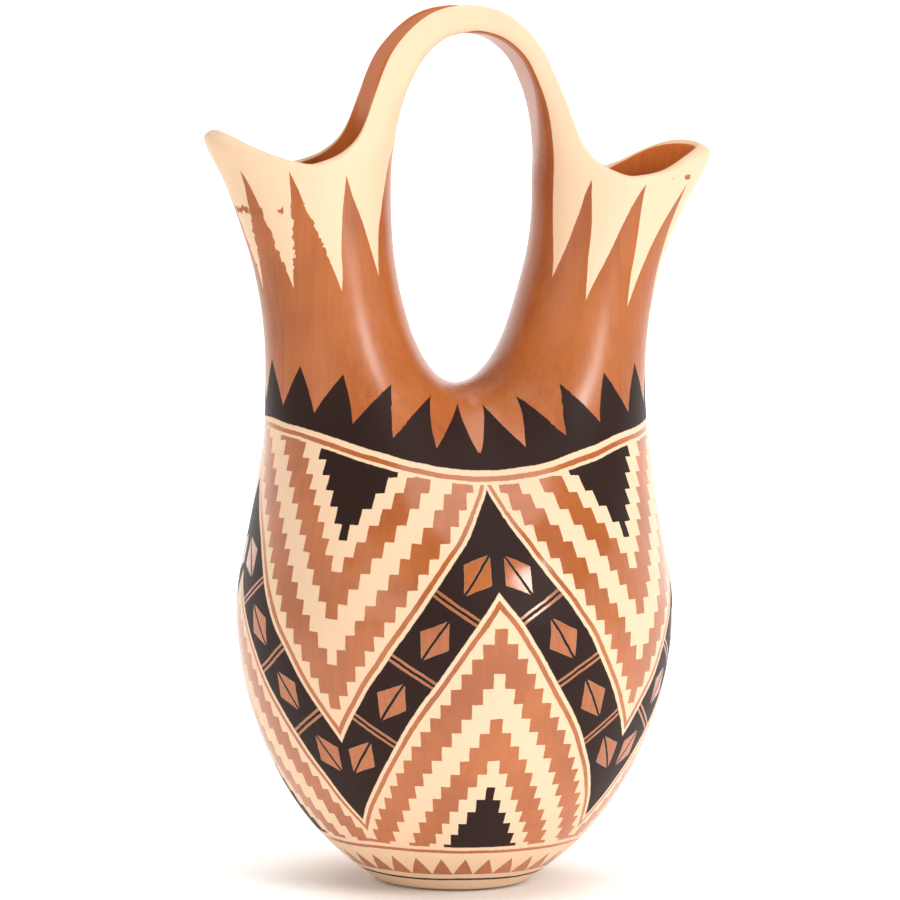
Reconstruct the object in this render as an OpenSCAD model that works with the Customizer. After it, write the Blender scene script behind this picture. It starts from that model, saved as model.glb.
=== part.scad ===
// Wedding vase: a two-spouted ceramic vessel with one arched strap handle.
// It is hand built: a pressed base, round coils stacked into a belly, two oval
// coils, one bridging shoulder that divides the opening in two, three coils and
// a pulled lip for each spout, and a strap laid from lip to lip.
// Millimetres, +Z up, origin at the centre of the resting face.
// X runs from spout to spout, the front faces -Y.

/* [Overall] */
// height from the resting face to the top of the handle (mm)
vase_h = 305; // [285:1:325]
// widest diameter, at the belly (mm)
belly_d = 152; // [144:0.5:160]
// distance from one pouring tip to the other, before the unevenness (mm)
spout_span = 179; // [172:0.2:188]
// diameter of the flat resting face (mm)
base_d = 48.8; // [45:0.2:52]

/* [Spouts] */
// depth of a spout from front to back at its mouth (mm)
neck_depth = 43.2; // [40:0.2:46]
// rise of a pouring tip above the dip of its mouth (mm)
tip_rise = 10.9; // [8:0.1:12]

/* [Clay] */
// wall thickness of the body (mm)
wall = 6; // [5:0.2:7]
// wall thickness at the lips (mm)
lip_wall = 4.6; // [4:0.2:5.2]
// thickness of the base (mm)
base_t = 8.5; // [7.5:0.5:9.5]
// drop of a coil joint from the outside to the inside (mm)
scarf = 4; // [2:0.5:6]

/* [Handle] */
// width of the strap at the top of the arch, from front to back (mm)
strap_w = 28; // [25:0.5:31]
// thickness of the strap (mm)
strap_t = 8.8; // [7.6:0.2:9.4]

/* [Hand building] */
// how far the right spout sits below the left one (mm)
right_drop = 2.7; // [0:0.1:5]
// share of the other unevenness that is kept, 0 is even
hand = 1; // [0:0.1:1.2]

/* [Detail] */
// points round one spout
seg = 48; // [32:8:56]
// rows up the bridging shoulder
rows = 11; // [8:1:14]

/* [Hidden] */

$fn = 128;
half = seg / 2;               // steps in half a ring
z_belly = 98;                 // the round coils end at the belly
z_ring = 125;                 // the oval coils end here
z_neck = 200;                 // the spouts start here
z_dip = 249;                  // dip of each mouth, root of the strap
z_saddle = 175.2;             // crest of the saddle between the spouts
z_top = 305;                  // top of the handle

// heights of the coil joints
LOW_Z = [16, 32, 48, 64.5, 81, 98];
OVAL_Z = [98, 111.5, 125];
NECK_Z = [200, 213.5, 226.5, 238];

// lower body: height, radius
BODY = [[0, 24.4], [0.7, 25.9], [2, 28.2], [4, 31], [7.5, 35.7], [14, 43.2], [21, 49.7], [28, 55], [35, 59.4],
        [42, 63.1], [49, 66.3], [56, 69], [63, 71.2], [70, 73], [77, 74.4], [84, 75.3], [91, 75.9], [98, 76]];
// the two lobes above the belly: height, inner side, outer side, half depth
LOBE = [[98, -76, 76, 76], [105, -71.7, 75.4, 74.1], [112, -66, 74.2, 71.2], [118.5, -59.6, 73, 67.8],
        [125, -52, 71.8, 63.6], [132, -43.5, 70.7, 58.6], [140, -33.4, 69.5, 52.2], [150, -20.8, 68.2, 44.6],
        [160, -9.6, 67.1, 38], [170, -0.6, 66.5, 32.6], [180, 10.1, 66.4, 28.6], [190, 15.9, 66.9, 26],
        [200, 19.3, 68.1, 24.2], [209, 21.7, 69.8, 23.3], [216, 23.3, 71.5, 22.8], [223, 24.5, 73.7, 22.4],
        [230, 25.2, 76.3, 22.1], [237, 25.6, 79.2, 21.9], [244, 25.6, 82.5, 21.7], [251, 25.6, 86.4, 21.6],
        [258, 25.6, 89.7, 21.6], [265, 25.6, 92.6, 21.6]];
// stations of half the strap: middle of the gap side (x, z), upper corner (x, z), half depth, share of the section left open
STRAP = [[0, 25.6, 249, 55.5, 249, 21.6, 0], [1, 25.8, 254.7, 46.4, 252.4, 20.9, 0.311], [2, 25.7, 260.4, 39.5, 258.6, 19.4, 0.54],
         [3, 25.2, 265.8, 35.6, 266.4, 17.6, 0.656], [4, 24.4, 270.4, 33.1, 272.4, 16.4, 0.712], [5, 23.2, 274.9, 30.9, 277.6, 15.7, 0.75],
         [6, 21.6, 279.1, 28.9, 282.6, 15.2, 0.773], [7, 19.2, 284.2, 26, 289.2, 14.8, 0.78], [8, 15.6, 289, 21.3, 295.8, 14.5, 0.78],
         [9, 10.4, 293, 14.4, 301.4, 14.3, 0.78], [10, 5.2, 294.9, 7, 304.2, 14.1, 0.78], [11, 0, 295.4, 0, 305, 14, 0.78]];
// unevenness of the right mouth: degrees round it from the pouring tip, back positive; height against the left one
RIM = [[-180, 0], [-150, -0.1], [-120, -0.3], [-90, -0.7], [-70, -1.6], [-55, -1.7], [-41, -1.2], [-20, -1.2], [0, -1.2],
       [16, 0.8], [33, 3.3], [51, 4.6], [67, 3.8], [80, 2.5], [90, 1.8], [120, 0.9], [150, 0.3], [180, 0]];
// sideways unevenness of the arms: height, middle of the arm, left gap side, left outer side, right gap side, right outer side
ARMS = [[205, 40, 0, 0, 0, 0], [230, 40, 1, 0, 0, 0], [250, 38, 1.2, 0, 0, 0], [258, 33, 2, 0.2, 0.3, 0.3],
        [265, 30, 2.4, 0, 0.5, 0.6], [272, 28.5, 2.4, -0.5, 0.8, 0.7], [280, 25.5, 2.3, -1, 1.2, 0.5],
        [288, 20.5, 2.5, -0.8, 1.4, 0], [295, 14, 1.7, -0.1, 1.2, -0.5], [301, 8, 0.5, 0, 0.4, -0.5], [306, 5, 0, 0, 0, 0]];

// ---- small helpers
function clamp(x, a, b) = min(max(x, a), b);
function ease(x) = let (u = clamp(x, 0, 1)) u * u * (3 - 2 * u);
function unit(v) = v / norm(v);
function span_of(t, x, i = 0) = (i >= len(t) - 2 || x < t[i + 1][0]) ? i : span_of(t, x, i + 1);
function slope(t, i, c) = let (a = max(i - 1, 0), b = min(i + 1, len(t) - 1)) (t[b][c] - t[a][c]) / (t[b][0] - t[a][0]);
function herm(u, p, a, q, b) = (2*u*u*u - 3*u*u + 1) * p + (u*u*u - 2*u*u + u) * a + (3*u*u - 2*u*u*u) * q + (u*u*u - u*u) * b;
// smooth curve through column c of a table
function curve(t, x, c = 1) =
    let (i = span_of(t, x), h = t[i + 1][0] - t[i][0], u = clamp((x - t[i][0]) / h, 0, 1))
    herm(u, t[i][c], h * slope(t, i, c), t[i + 1][c], h * slope(t, i + 1, c));

// ---- hand-built unevenness: the right spout is lower and a little slimmer, its mouth is highest
// ---- at the back, the left spout swells outward at its foot, and the left arm of the strap is thicker
function hold(x, z) = (1 - ease((z - z_dip) / 29) * (1 - ease((x - 48) / 16))) * ease(x / 20);
function arms(z, left, c) = left * curve(ARMS, z, c) + (1 - left) * curve(ARMS, z, c + 2);
function bend(p) =
    let (x = p[0], z = p[2], far = abs(x), left = ease(-x / 6), keep = hold(x, z),
         w = ease((far - curve(ARMS, z, 1)) / 9 + 0.5),
         side = ((1 - w) * arms(z, left, 2) + w * arms(z, left, 3)) * (1 - ease((far - 44) / 14)),
         slim = -0.012 * (x - 54) * ease((z - 205) / 35) * keep,
         swell = -ease((z - 150) / 30) * (1 - ease((z - 222) / 30)) * ease((-x - 40) / 20),
         mouth = curve(RIM, atan2(p[1] / 21.6, (x - 56) / 30.4)) * ease((z - 226) / 25))
    p + [hand * (side + slim + swell), 0, keep * (hand * mouth - right_drop * ease((z - 195) / 56))];

// ---- from the drawn profile to the chosen sizes
kz = vase_h / z_top;
kb = belly_d / 152;
ks = spout_span / (2 * curve(LOBE, z_dip + tip_rise - lip_wall / 2, 2));
kd = neck_depth / 43.2;
function kx(z) = kb + (ks - kb) * ease((z - z_belly) / (258 - z_belly));
function ky(z) = kb + (kd - kb) * ease((z - z_belly) / (z_neck - z_belly));
function fit(p) = let (b = p[2] > 150 ? bend(p) : p) [b[0] * kx(b[2]), b[1] * ky(b[2]), b[2] * kz];
function fit_all(ps) = [for (p = ps) fit(p)];
function turned(p, left) = left ? [-p[0], p[1], p[2]] : p;
function placed(ps, left) = [for (p = ps) fit(turned(p, left))];

// ---- wall thickness up the vase
function thick(z) = z < 20 ? wall + (base_t - wall) * (1 - ease(z / 20))
                           : wall + (lip_wall - wall) * ease((z - 150) / 100);

// ---- lower body, a solid of revolution
function low_r(z) = curve(BODY, z) + (base_d / 2 - 24.4) * pow(max(0, 1 - z / 14), 2);
function low_out(z) = [low_r(z), z];
function low_dir(z) = z >= z_belly ? [0, 1] : unit(low_out(z + 0.2) - low_out(max(z - 0.2, 0)));
function low_in(z) = let (d = low_dir(z)) low_out(z) - [d[1], -d[0]] * thick(z);
function steps(a, b, n) = [for (i = [0:n]) a + (b - a) * i / n];
function flat2(ps) = [for (p = ps) [p[0] * kb, p[1] * kz]];

module base_disc() {
    z1 = LOW_Z[0];
    out = [for (z = [0, 0.5, 1.4, 2.6, 4, 5.6, 7.5, 10, 13, z1]) low_out(z)];
    inn = [for (z = [z1 - scarf, 9.5, 7, 5, 3, 1.4]) low_in(z)];
    color("peru")
        rotate_extrude()
            polygon(flat2(concat([[0, 0]], out, inn, [[base_d / 2 - 2, base_t], [0, base_t]])));
}

// one round coil between two joints; the joint drops inward by the scarf
module round_coil(z0, z1, top_flat = false) {
    n = 5;
    out = [for (z = steps(z0, z1, n)) low_out(z)];
    inn = [for (z = steps(z1 - (top_flat ? 0 : scarf), z0 - scarf, n)) low_in(z)];
    color("peru") rotate_extrude() polygon(flat2(concat(out, inn)));
}

// ---- two lobes that melt into one body
function lobe(x, y, c, a, b) = (sqrt(pow((x - c) / a, 2) + pow(y / b, 2)) - 1) * min(a, b);
function field(p) =
    let (z = clamp(p[2], z_belly, 258), xi = curve(LOBE, z, 1), xo = curve(LOBE, z, 2), b = curve(LOBE, z, 3),
         c = (xi + xo) / 2, a = (xo - xi) / 2, f = lobe(p[0], p[1], c, a, b), g = lobe(p[0], p[1], -c, a, b),
         k = clamp(c / 2, 0.01, 17.6), h = max(k - abs(f - g), 0) / k)
    min(f, g) - h * h * k / 4;
function grad(p, e = 0.02) = [for (d = [[e, 0, 0], [0, e, 0], [0, 0, e]]) (field(p + d) - field(p - d)) / (2 * e)];
function level(v) = [v[0], v[1], 0];
// walk a point onto the skin, in its own level or freely
function onto(p, flat, n = 6) = n == 0 ? p :
    let (g0 = grad(p), g = flat ? level(g0) : g0, s = clamp(field(p) / (g * g), -4, 4)) onto(p - g * s, flat, n - 1);

function ring_angle(k) = -90 + 180 * k / half;
function on_mid(k) = k == 0 || k == half || k == seg;
// one oval ring of the body, counter-clockwise from the front
function oval_pt(z, k) =
    let (t = ring_angle(k), q = onto([curve(LOBE, z, 2) * cos(t), curve(LOBE, z, 3) * sin(t), z], true))
    on_mid(k) ? [0, q[1], z] : q;
function inward(p) = let (g = grad(p), f = norm(level(g)))
    p - unit(level(g)) * thick(p[2]) * min(norm(g) / f, 1.25);
function oval_out(z) = [for (k = [0:seg - 1]) oval_pt(z, k)];
function tidy(ps) = [for (k = [0:len(ps) - 1]) on_mid(k) ? [0, ps[k][1], ps[k][2]] : ps[k]];
function oval_in(z) = tidy([for (p = oval_out(z)) inward(p)]);

// ---- skin of a closed ring wall: outer rows from the bottom, then inner rows from the top
function loop_faces(n, m) = [for (j = [0:m - 1], k = [0:n - 1])
    let (a = j * n + k, b = j * n + (k + 1) % n, j2 = (j + 1) % m, c = j2 * n + (k + 1) % n, d = j2 * n + k)
    each [[a, c, b], [a, d, c]]];
module ring_wall(loops, left = false) {
    fs = loop_faces(len(loops[0]), len(loops));
    polyhedron(points = [for (l = loops) each l], faces = left ? [for (f = fs) [f[2], f[1], f[0]]] : fs);
}

module oval_coil(z0, z1) {
    zs = steps(z0, z1, 3);
    color("peru")
        ring_wall([for (l = concat([for (z = zs) oval_out(z)], [for (i = [3:-1:0]) oval_in(zs[i])])) fit_all(l)]);
}

// ---- spouts
function spout_c(z) = (curve(LOBE, z, 1) + curve(LOBE, z, 2)) / 2;
function spout_a(z) = (curve(LOBE, z, 2) - curve(LOBE, z, 1)) / 2;
function spout_b(z) = curve(LOBE, z, 3);
// corner sharpness of the gap side, against stations of the strap, which are 5 mm apart down the spout
function corner(q) = 2 + 8 * pow(clamp((q + 2) / 8.5, 0, 1), 3);
function spout_e(z, t) = cos(t) < -0.000001 ? 2 / corner((z - z_dip) / 5) : 1;
function share(c, e) = sign(c) * pow(abs(c), e);
function spout_pt(z, t) = let (e = spout_e(z, t))
    [spout_c(z) + spout_a(z) * share(cos(t), e), spout_b(z) * share(sin(t), e), z];
function spout_n(z, t) = let (e = 2 - spout_e(z, t)) unit([share(cos(t), e) / spout_a(z), share(sin(t), e) / spout_b(z), 0]);
// the wall swells towards a pouring tip
function spout_in_pt(z, t) = let (p = spout_pt(z, t))
    p - spout_n(z, t) * thick(z) * (1 + 0.35 * ease((p[0] - 68) / 20) * ease((z - 225) / 22));
function spout_out(z) = [for (k = [0:seg - 1]) spout_pt(z, ring_angle(k))];
function spout_in(z) = [for (k = [0:seg - 1]) spout_in_pt(z, ring_angle(k))];

module neck_coil(z0, z1, left) {
    zs = steps(z0, z1, 3);
    color("sienna")
        ring_wall([for (l = concat([for (z = zs) spout_out(z)], [for (i = [3:-1:0]) spout_in(zs[i])])) placed(l, left)], left);
}

// the lip rises from the dips to a pouring tip on the outer side and stays
// level on the inner side, where the strap is laid on it
function rise(t) = pow(max(cos(t), 0), 1.4);
function lip_z(z, t) = let (f = (z - NECK_Z[3]) / (z_dip - NECK_Z[3]))
    z + (tip_rise - lip_wall / 2) * rise(t) * f;
function lip_out(z) = [for (k = [0:seg - 1]) let (t = ring_angle(k)) spout_pt(lip_z(z, t), t)];
function lip_in(z) = [for (k = [0:seg - 1]) let (t = ring_angle(k)) spout_in_pt(lip_z(z, t), t)];
// rounded rim, from the outside over to the inside; it flattens at the dips
function rim(a, left) = [for (k = [0:seg - 1])
    let (t = ring_angle(k), z = lip_z(z_dip, t), p = fit(turned(spout_pt(z, t), left)), q = fit(turned(spout_in_pt(z, t), left)),
         m = (p + q) / 2, w = norm(p - q) / 2, r = ease(max(cos(t), 0) * 3))
    m + (p - m) * cos(a) + [0, 0, 1] * w * sin(a) * r];

module lip(left) {
    zs = steps(NECK_Z[3], z_dip, 3);
    color("wheat")
        ring_wall(concat([for (z = zs) placed(lip_out(z), left)], [for (a = [45, 90, 135]) rim(a, left)],
                         [for (i = [3:-1:0]) placed(lip_in(zs[i]), left)]), left);
}

// ---- bridging shoulder: from the oval ring and the saddle up to both spouts
function saddle_raw(v) =
    let (s = 1 - abs(2 * v - 1), b = oval_pt(z_ring, half)[1], m = (curve(LOBE, z_ring, 3) - curve(LOBE, z_ring - 0.5, 3)) / 0.5)
    [0, (v < 0.5 ? 1 : -1) * herm(s, b, 62 * m, 0, -40), herm(s, z_ring, 62, z_saddle, 0)];
function saddle_pt(v) = let (q = onto(saddle_raw(v), false, 8)) [0, q[1], q[2]];
// loop at the foot of the right spout: half the oval ring, then back over the saddle
foot = [for (k = [0:seg - 1]) k <= half ? oval_pt(z_ring, k) : saddle_pt((k - half) / half)];
function corner_share(d) = 45 * max(0, 1 - d / 4);
function foot_dir(k) =
    k <= half ?
        let (t = ring_angle(k), w = corner_share(min(k, half - k)),
             da = (curve(LOBE, z_ring, 2) - curve(LOBE, z_ring - 0.5, 2)) / 0.5,
             db = (curve(LOBE, z_ring, 3) - curve(LOBE, z_ring - 0.5, 3)) / 0.5,
             side = unit([abs(foot[0][1] * sin(t)) + 0.01, -sign(sin(t)) * foot[half][1] * cos(t), 0]))
        [da * cos(t), db * sin(t), 1] * cos(w) * 75 + side * sin(w) * 40
    :   let (v = (k - half) / half, w = 90 - corner_share(min(k - half, seg - k)), s = 1 - abs(2 * v - 1),
             up = unit((v < 0.5 ? 1 : -1) * (saddle_raw(v + 0.001) - saddle_raw(v - 0.001))))
        up * cos(w) * 75 + [1, 0, 0] * sin(w) * (40 - 10 * s);
function neck_dir(k) = let (t = ring_angle(k))
    (spout_pt(z_neck + 0.5, t) - spout_pt(z_neck, t)) / 0.5 * (cos(t) > 0 ? 75 : 75 - 41 * abs(cos(t)));
function shoulder_pt(j, k) =
    j == 0 ? foot[k] : j == rows ? spout_pt(z_neck, ring_angle(k)) :
    onto(herm(j / rows, foot[k], foot_dir(k), spout_pt(z_neck, ring_angle(k)), neck_dir(k)), false);
function shoulder_in(p, j, k) =
    j == rows ? spout_in_pt(z_neck, ring_angle(k)) :
    j == 0 && k <= half ? (on_mid(k) ? [0, inward(p)[1], p[2]] : inward(p)) :
    let (q = p - unit(grad(p)) * thick(p[2])) j == 0 ? [0, q[1], q[2]] : q;

module shoulder_bridge() {
    n = seg;
    out = [for (j = [0:rows]) [for (k = [0:n - 1]) shoulder_pt(j, k)]];
    inn = [for (j = [0:rows]) [for (k = [0:n - 1]) shoulder_in(out[j][k], j, k)]];
    flip = function (ls) [for (l = ls) [for (p = l) [-p[0], p[1], p[2]]]];
    pts = fit_all([for (s = [out, flip(out), inn, flip(inn)]) for (l = s) each l]);
    m = (rows + 1) * n;
    // points in the middle plane belong to both halves
    at = function (left, inner, j, k)
        let (c = k % n, mid = j == 0 && (c == 0 || c >= half))
        (inner ? 2 * m : 0) + (left && !mid ? m : 0) + j * n + c;
    skin = [for (left = [false, true], inner = [false, true], j = [0:rows - 1], k = [0:n - 1])
        let (a = at(left, inner, j, k), b = at(left, inner, j, k + 1), c = at(left, inner, j + 1, k + 1), d = at(left, inner, j + 1, k))
        each (left != inner ? [[a, b, c], [a, c, d]] : [[a, c, b], [a, d, c]])];
    top = [for (left = [false, true], k = [0:n - 1])
        let (a = at(left, false, rows, k), b = at(left, false, rows, k + 1), c = at(left, true, rows, k + 1), d = at(left, true, rows, k))
        each (left ? [[a, b, c], [a, c, d]] : [[a, c, b], [a, d, c]])];
    bottom = [for (left = [false, true], k = [0:half - 1])
        let (a = at(left, false, 0, k), b = at(left, false, 0, k + 1), c = at(left, true, 0, k + 1), d = at(left, true, 0, k))
        each (left ? [[a, c, b], [a, d, c]] : [[a, b, c], [a, c, d]])];
    color("sienna") polyhedron(points = pts, faces = concat(skin, top, bottom));
}

// ---- strap handle: the wall round the gap side of a spout draws in to a flat strap
strap_n = 2 * (len(STRAP) - 1);     // stations in half the strap
function station(q, c) = curve(STRAP, q, c);
function strap_half(q) = station(q, 5) + (strap_w / 2 - 14) * ease(q / 5);
function strap_thick(q) = lip_wall + (strap_t - lip_wall) * ease(q / 3.4);
function arm_thick(q) = lip_wall + (1.4 - lip_wall) * ease(q / 4);
// direction through the strap, from the gap side to the upper side
function strap_up(q) =
    let (a = max(q - 0.1, 0), b = min(q + 0.1, 11), d = [station(b, 1) - station(a, 1), station(b, 2) - station(a, 2)])
    unit([d[1], 0, -d[0]]);
function strap_row(q, left) =
    let (n = corner(q), low = [station(q, 1), 0, station(q, 2)], edge = [station(q, 3), 0, station(q, 4)], open = station(q, 6),
         up = low + strap_up(q) * strap_thick(q), w = ease(q / 4), end = acos(pow(open, n / 2)),
         ts = [for (i = [0:half]) end * (1 - 2 * i / half)],
         ys = [for (t = ts) share(sin(t), 2 / n)],
         under = [for (i = [0:half]) q == 0 ? spout_pt(z_dip, 180 - ts[i]) :
             low + (edge - low) * (1 - pow(cos(ts[i]), 2 / n)) / (1 - open) + [0, strap_half(q) * ys[i], 0]],
         over = [for (i = [half:-1:0]) q == 0 ? spout_in_pt(z_dip, 180 - ts[i]) :
             let (y = (1 - w) * ys[i] + w * ys[0] * ts[i] / end, x = max(pow(max(1 - pow(abs(y), n), 0), 1 / n), open))
             up + (edge - up) * (1 - x) / (1 - open) + [0, (strap_half(q) - arm_thick(q)) * y, 0]],
         u = placed(under, left), o = placed(over, left),
         crown = turned(unit(edge - low), left) * arm_thick(q) * 0.12 * min(q, 1) * (1 - ease((q - 5) / 5)))
    concat(u, [(u[half] + o[0]) / 2 + crown], o, [(u[0] + o[half]) / 2 + crown]);

module handle_strap() {
    all = concat([for (i = [0:strap_n]) strap_row(i / 2, false)], [for (i = [strap_n - 1:-1:0]) strap_row(i / 2, true)]);
    n = len(all[0]);
    m = len(all);
    skin = [for (j = [0:m - 2], k = [0:n - 1])
        let (a = j * n + k, b = j * n + (k + 1) % n, c = (j + 1) * n + (k + 1) % n, d = (j + 1) * n + k)
        each [[a, c, b], [a, d, c]]];
    // end faces are strips between the under and the over edge
    h = half;
    turn = function (fs, back) back ? [for (f = fs) [f[2], f[1], f[0]]] : fs;
    cap = function (j, back)
        let (u = function (i) j * n + i, o = function (i) j * n + n - 2 - i, a = j * n + h + 1, b = j * n + n - 1)
        turn(concat([for (i = [1:h - 2]) each [[u(i), u(i + 1), o(i + 1)], [u(i), o(i + 1), o(i)]]],
            [[u(0), u(1), b], [b, u(1), o(1)], [b, o(1), o(0)]],
            [[u(h - 1), u(h), a], [u(h - 1), a, o(h - 1)], [a, o(h), o(h - 1)]]), back);
    color("wheat") polyhedron(points = [for (l = all) each l], faces = concat(skin, cap(0, false), cap(m - 1, true)));
}

base_disc();
round_coil(LOW_Z[0], LOW_Z[1]);  // body_coil_1
round_coil(LOW_Z[1], LOW_Z[2]);  // body_coil_2
round_coil(LOW_Z[2], LOW_Z[3]);  // body_coil_3
round_coil(LOW_Z[3], LOW_Z[4]);  // body_coil_4
round_coil(LOW_Z[4], LOW_Z[5], true);  // body_coil_5
oval_coil(OVAL_Z[0], OVAL_Z[1]);  // body_coil_6
oval_coil(OVAL_Z[1], OVAL_Z[2]);  // body_coil_7
shoulder_bridge();
neck_coil(NECK_Z[0], NECK_Z[1], true);  // left_neck_coil_1
neck_coil(NECK_Z[1], NECK_Z[2], true);  // left_neck_coil_2
neck_coil(NECK_Z[2], NECK_Z[3], true);  // left_neck_coil_3
lip(true);  // left_lip
neck_coil(NECK_Z[0], NECK_Z[1], false);  // right_neck_coil_1
neck_coil(NECK_Z[1], NECK_Z[2], false);  // right_neck_coil_2
neck_coil(NECK_Z[2], NECK_Z[3], false);  // right_neck_coil_3
lip(false);  // right_lip
handle_strap();
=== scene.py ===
import bpy
import math
import numpy as np
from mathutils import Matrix, Quaternion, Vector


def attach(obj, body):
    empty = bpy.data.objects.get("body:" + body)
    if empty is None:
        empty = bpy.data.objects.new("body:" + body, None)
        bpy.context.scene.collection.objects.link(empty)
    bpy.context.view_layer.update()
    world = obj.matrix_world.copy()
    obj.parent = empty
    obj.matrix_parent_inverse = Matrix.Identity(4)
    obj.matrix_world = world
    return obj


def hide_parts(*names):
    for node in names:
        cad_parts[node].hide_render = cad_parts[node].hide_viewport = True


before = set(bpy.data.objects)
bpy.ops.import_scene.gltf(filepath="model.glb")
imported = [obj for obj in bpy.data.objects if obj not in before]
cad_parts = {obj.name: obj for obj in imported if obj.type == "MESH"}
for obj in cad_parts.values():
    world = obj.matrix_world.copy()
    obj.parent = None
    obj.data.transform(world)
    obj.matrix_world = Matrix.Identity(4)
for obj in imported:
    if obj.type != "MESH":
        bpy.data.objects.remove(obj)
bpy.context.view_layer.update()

scene = bpy.context.scene

# ------------------------------------------------------------------ sizes, millimetres
LOW_Z = [16, 32, 48, 64.5, 81, 98]
OVAL_Z = [98, 111.5, 125]
NECK_Z = [200, 213.5, 226.5, 238]
Z_RING, Z_NECK, Z_DIP, Z_SADDLE = 125.0, 200.0, 249.0, 175.2
WALL, LIP_WALL, BASE_T, STRAP_T, TIP_RISE = 6.0, 4.6, 8.5, 8.8, 10.9
# lower body: height, radius
BODY = [(0, 24.4), (0.7, 25.9), (2, 28.2), (4, 31), (7.5, 35.7), (14, 43.2), (21, 49.7), (28, 55), (35, 59.4), (42, 63.1), (49, 66.3),
        (56, 69), (63, 71.2), (70, 73), (77, 74.4), (84, 75.3), (91, 75.9), (98, 76)]
# the two lobes above the belly: height, inner side, outer side, half depth
LOBE = [(98, -76, 76, 76), (105, -71.7, 75.4, 74.1), (112, -66, 74.2, 71.2), (118.5, -59.6, 73, 67.8), (125, -52, 71.8, 63.6),
        (132, -43.5, 70.7, 58.6), (140, -33.4, 69.5, 52.2), (150, -20.8, 68.2, 44.6), (160, -9.6, 67.1, 38), (170, -0.6, 66.5, 32.6),
        (180, 10.1, 66.4, 28.6), (190, 15.9, 66.9, 26), (200, 19.3, 68.1, 24.2), (209, 21.7, 69.8, 23.3), (216, 23.3, 71.5, 22.8),
        (223, 24.5, 73.7, 22.4), (230, 25.2, 76.3, 22.1), (237, 25.6, 79.2, 21.9), (244, 25.6, 82.5, 21.7), (251, 25.6, 86.4, 21.6),
        (258, 25.6, 89.7, 21.6), (265, 25.6, 92.6, 21.6)]
# stations of half the strap: middle of the gap side (x, z), upper corner (x, z), half depth, share of the section left open
STRAP = [(0, 25.6, 249, 55.5, 249, 21.6, 0), (1, 25.8, 254.7, 46.4, 252.4, 20.9, 0.311), (2, 25.7, 260.4, 39.5, 258.6, 19.4, 0.54),
         (3, 25.2, 265.8, 35.6, 266.4, 17.6, 0.656), (4, 24.4, 270.4, 33.1, 272.4, 16.4, 0.712), (5, 23.2, 274.9, 30.9, 277.6, 15.7, 0.75),
         (6, 21.6, 279.1, 28.9, 282.6, 15.2, 0.773), (7, 19.2, 284.2, 26, 289.2, 14.8, 0.78), (8, 15.6, 289, 21.3, 295.8, 14.5, 0.78),
         (9, 10.4, 293, 14.4, 301.4, 14.3, 0.78), (10, 5.2, 294.9, 7, 304.2, 14.1, 0.78), (11, 0, 295.4, 0, 305, 14, 0.78)]
# height of the right rim against the left one: degrees round the mouth from the pouring tip, to the back positive
RIM_R = [(-180, 0), (-150, -0.1), (-120, -0.3), (-90, -0.7), (-70, -1.6), (-55, -1.7), (-41, -1.2), (-20, -1.2), (0, -1.2), (16, 0.8), (33, 3.3), (51, 4.6),
         (67, 3.8), (80, 2.5), (90, 1.8), (120, 0.9), (150, 0.3), (180, 0)]
# sideways unevenness of the arms: height, middle of the arm, left gap side, left outer side, right gap side, right outer side
ARMS = [(205, 40, 0, 0, 0, 0), (230, 40, 1, 0, 0, 0), (250, 38, 1.2, 0, 0, 0), (258, 33, 2, 0.2, 0.3, 0.3), (265, 30, 2.4, 0, 0.5, 0.6), (272, 28.5, 2.4, -0.5, 0.8, 0.7),
        (280, 25.5, 2.3, -1, 1.2, 0.5), (288, 20.5, 2.5, -0.8, 1.4, 0), (295, 14, 1.7, -0.1, 1.2, -0.5), (301, 8, 0.5, 0, 0.4, -0.5), (306, 5, 0, 0, 0, 0)]
RIGHT_DROP, RIGHT_SLIM, LEFT_SWELL = 2.7, 0.012, 1.0
NODES = ["base_disc", "body_coil_1", "body_coil_2", "body_coil_3", "body_coil_4", "body_coil_5", "body_coil_6", "body_coil_7",
         "shoulder_bridge", "left_neck_coil_1", "left_neck_coil_2", "left_neck_coil_3", "left_lip",
         "right_neck_coil_1", "right_neck_coil_2", "right_neck_coil_3", "right_lip", "handle_strap"]

NT = 24          # steps in half a ring
NL = 14          # rows up the shoulder


# ------------------------------------------------------------------ curves and fields
def curve(table, x):
    tab = np.asarray(table, float)
    X, Y = tab[:, 0], tab[:, 1:]
    m = np.zeros_like(Y)
    m[1:-1] = (Y[2:] - Y[:-2]) / (X[2:] - X[:-2])[:, None]
    m[0] = (Y[1] - Y[0]) / (X[1] - X[0])
    m[-1] = (Y[-1] - Y[-2]) / (X[-1] - X[-2])
    x = np.atleast_1d(np.asarray(x, float))
    i = np.clip(np.searchsorted(X, x) - 1, 0, len(X) - 2)
    h = (X[i + 1] - X[i])[:, None]
    t = np.clip((x - X[i])[:, None] / h, 0, 1)
    return (2*t**3 - 3*t**2 + 1)*Y[i] + (t**3 - 2*t**2 + t)*h*m[i] + (3*t**2 - 2*t**3)*Y[i + 1] + (t**3 - t**2)*h*m[i + 1]


def ease(x):
    u = np.clip(x, 0, 1)
    return u*u*(3 - 2*u)


def unit(v):
    return v/np.maximum(np.linalg.norm(v, axis=-1, keepdims=True), 1e-12)


def field(p):
    """below 0 inside the two blended lobes"""
    q = curve(LOBE, np.clip(p[:, 2], 98, 258))
    c, a, b = (q[:, 0] + q[:, 1])/2, (q[:, 1] - q[:, 0])/2, q[:, 2]
    s = np.minimum(a, b)
    f = (np.sqrt(((p[:, 0] - c)/a)**2 + (p[:, 1]/b)**2) - 1)*s
    g = (np.sqrt(((p[:, 0] + c)/a)**2 + (p[:, 1]/b)**2) - 1)*s
    k = np.clip(c/2, 0.01, 17.6)
    h = np.maximum(k - np.abs(f - g), 0)/k
    return np.minimum(f, g) - h*h*k/4


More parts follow.
